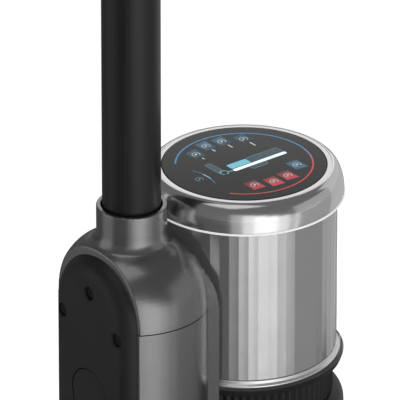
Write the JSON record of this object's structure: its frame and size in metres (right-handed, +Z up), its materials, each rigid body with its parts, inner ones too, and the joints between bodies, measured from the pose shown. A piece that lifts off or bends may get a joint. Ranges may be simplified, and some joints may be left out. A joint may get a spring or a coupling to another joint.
{
  "type": "cordless wet and dry floor washer",
  "caption": "Upright floor washer with a display module, tank front and back, a tilting and swivelling neck and a powered roller head.",
  "frame": {"origin": "on the floor, under the middle of the whole machine standing upright", "axes": "+Z up the pole, +Y to the front, where the roller is, +X to the right of the person who pushes it"},
  "size_m": [0.268, 0.267, 1.1119],
  "materials": {
    "gunmetal": "metallic grey paint, satin gloss",
    "satin_black": "black anodised, satin",
    "matte_black": "fine spark-eroded matt",
    "chrome": "turned and polished, bright lower edge",
    "metallised": "vacuum-metallised flutes",
    "display_glass": "dark cover glass with printed and lit graphics",
    "clear_plastic": "clear polished",
    "smoky_plastic": "smoke-tinted, polished",
    "rubber": "moulded, matt",
    "steel": "turned",
    "motor_can": "satin",
    "circuit_board": "solder mask",
    "fleece": "short dense microfibre pile",
    "filter_paper": "pleated",
    "white_foam": "moulded",
    "battery_wrap": "shrink wrap"
  },
  "bodies": {
    "head": {"head_base": "matte_black", "head_cover": "matte_black", "belt_cover": "gunmetal", "wheel_pin_left": "steel", "wheel_pin_right": "steel", "pitch_axle": "steel", "roller_motor": "motor_can", "drive_belt": "rubber", "scraper": "steel", "squeegee": "rubber"},
    "neck": {"neck_yoke": "matte_black"},
    "roller": {"roller_core": "matte_black", "roller_sleeve": "fleece", "roller_pulley": "motor_can"},
    "motor_pulley": {"motor_pulley": "motor_can"},
    "wheel_left": {"wheel_left": "rubber"},
    "wheel_right": {"wheel_right": "rubber"},
    "roller_cover": {"roller_cover": "gunmetal"},
    "clean_tank": {"clean_tank": "smoky_plastic"},
    "clean_cap": {"clean_tank_cap": "matte_black"},
    "dirty_tank": {"dirty_tank": "smoky_plastic", "tank_lid": "matte_black", "intake_tube": "smoky_plastic", "exhaust_filter": "filter_paper"},
    "float": {"tank_float": "white_foam"},
    "fan": {"fan_impeller": "matte_black"},
    "power_button": {"power_button": "gunmetal"},
    "mode_button": {"mode_button": "gunmetal"},
    "clean_button": {"clean_button": "gunmetal"},
    "release_button": {"clean_release_button": "matte_black"},
    "latch_button": {"tank_latch_button": "gunmetal"},
    "main": {"back_cover": "matte_black", "base_band": "matte_black", "battery_pack": "battery_wrap", "bezel_ring": "chrome", "clear_sleeve": "clear_plastic", "cover_screw_1": "steel", "cover_screw_2": "steel", "cover_screw_3": "steel", "display_board": "circuit_board", "display_glass": "display_glass", "exhaust_neck": "matte_black", "filter_casing": "matte_black", "fluted_insert": "metallised", "foot_ring": "chrome", "handle_left": "matte_black", "handle_right": "matte_black", "handle_socket": "matte_black", "lower_back_cover": "matte_black", "lower_casing": "gunmetal", "main_board": "circuit_board", "motor_mount": "rubber", "pole": "satin_black", "spine_foot": "matte_black", "suction_motor": "motor_can", "switch_board": "circuit_board", "upper_casing": "gunmetal", "water_pump": "matte_black"}
  },
  "joints": [
    {"name": "neck_pitch", "type": "hinge", "parent": "head", "child": "neck", "pos_m": [0, -0.05583, 0.052], "axis": [1, 0, 0], "range_deg": [0, 70]},
    {"name": "body_swivel", "type": "hinge", "parent": "neck", "child": "main", "pos_m": [0, -0.05583, 0.1], "axis": [0, 0, 1], "range_deg": [-60, 60]},
    {"name": "roller_spin", "type": "hinge", "parent": "head", "child": "roller", "pos_m": [0.006, 0.10417, 0.024], "axis": [1, 0, 0], "continuous": true},
    {"name": "motor_pulley_spin", "type": "hinge", "parent": "head", "child": "motor_pulley", "pos_m": [-0.1195, 0.02817, 0.027], "axis": [1, 0, 0], "continuous": true},
    {"name": "wheel_left_spin", "type": "hinge", "parent": "head", "child": "wheel_left", "pos_m": [-0.063, -0.09383, 0.022], "axis": [1, 0, 0], "continuous": true},
    {"name": "wheel_right_spin", "type": "hinge", "parent": "head", "child": "wheel_right", "pos_m": [0.063, -0.09383, 0.022], "axis": [1, 0, 0], "continuous": true},
    {"name": "roller_cover_lift", "type": "slide", "parent": "head", "child": "roller_cover", "axis": [0, 0, 1], "range_m": [0, 0.05]},
    {"name": "clean_tank_pull", "type": "slide", "parent": "main", "child": "clean_tank", "axis": [0, -1, 0], "range_m": [0, 0.08]},
    {"name": "clean_cap_lift", "type": "slide", "parent": "clean_tank", "child": "clean_cap", "axis": [0, 0, 1], "range_m": [0, 0.03]},
    {"name": "dirty_tank_pull", "type": "slide", "parent": "main", "child": "dirty_tank", "axis": [0, 1, 0], "range_m": [0, 0.13]},
    {"name": "float_rise", "type": "slide", "parent": "dirty_tank", "child": "float", "axis": [0, 0, 1], "range_m": [0, 0.022]},
    {"name": "fan_spin", "type": "hinge", "parent": "main", "child": "fan", "pos_m": [0, 0.02217, 0.5318], "axis": [0, 0, 1], "continuous": true},
    {"name": "power_button_press", "type": "slide", "parent": "main", "child": "power_button", "axis": [0, -0.2419, -0.9703], "range_m": [0, 0.0015], "stiffness_N_per_m": 800, "springref_m": -0.0015},
    {"name": "mode_button_press", "type": "slide", "parent": "main", "child": "mode_button", "axis": [0, -0.2419, -0.9703], "range_m": [0, 0.0015], "stiffness_N_per_m": 800, "springref_m": -0.0015},
    {"name": "clean_button_press", "type": "slide", "parent": "main", "child": "clean_button", "axis": [0, -0.2419, -0.9703], "range_m": [0, 0.0015], "stiffness_N_per_m": 800, "springref_m": -0.0015},
    {"name": "release_button_press", "type": "slide", "parent": "main", "child": "release_button", "axis": [0, 1, 0], "range_m": [0, 0.0025], "stiffness_N_per_m": 800, "springref_m": -0.0015},
    {"name": "latch_button_press", "type": "slide", "parent": "main", "child": "latch_button", "axis": [0, -1, 0], "range_m": [0, 0.002], "stiffness_N_per_m": 800, "springref_m": -0.0015}
  ],
  "couplings": [
    {"joint": "motor_pulley_spin", "follows": "roller_spin", "ratio": 1.5714}
  ]
}
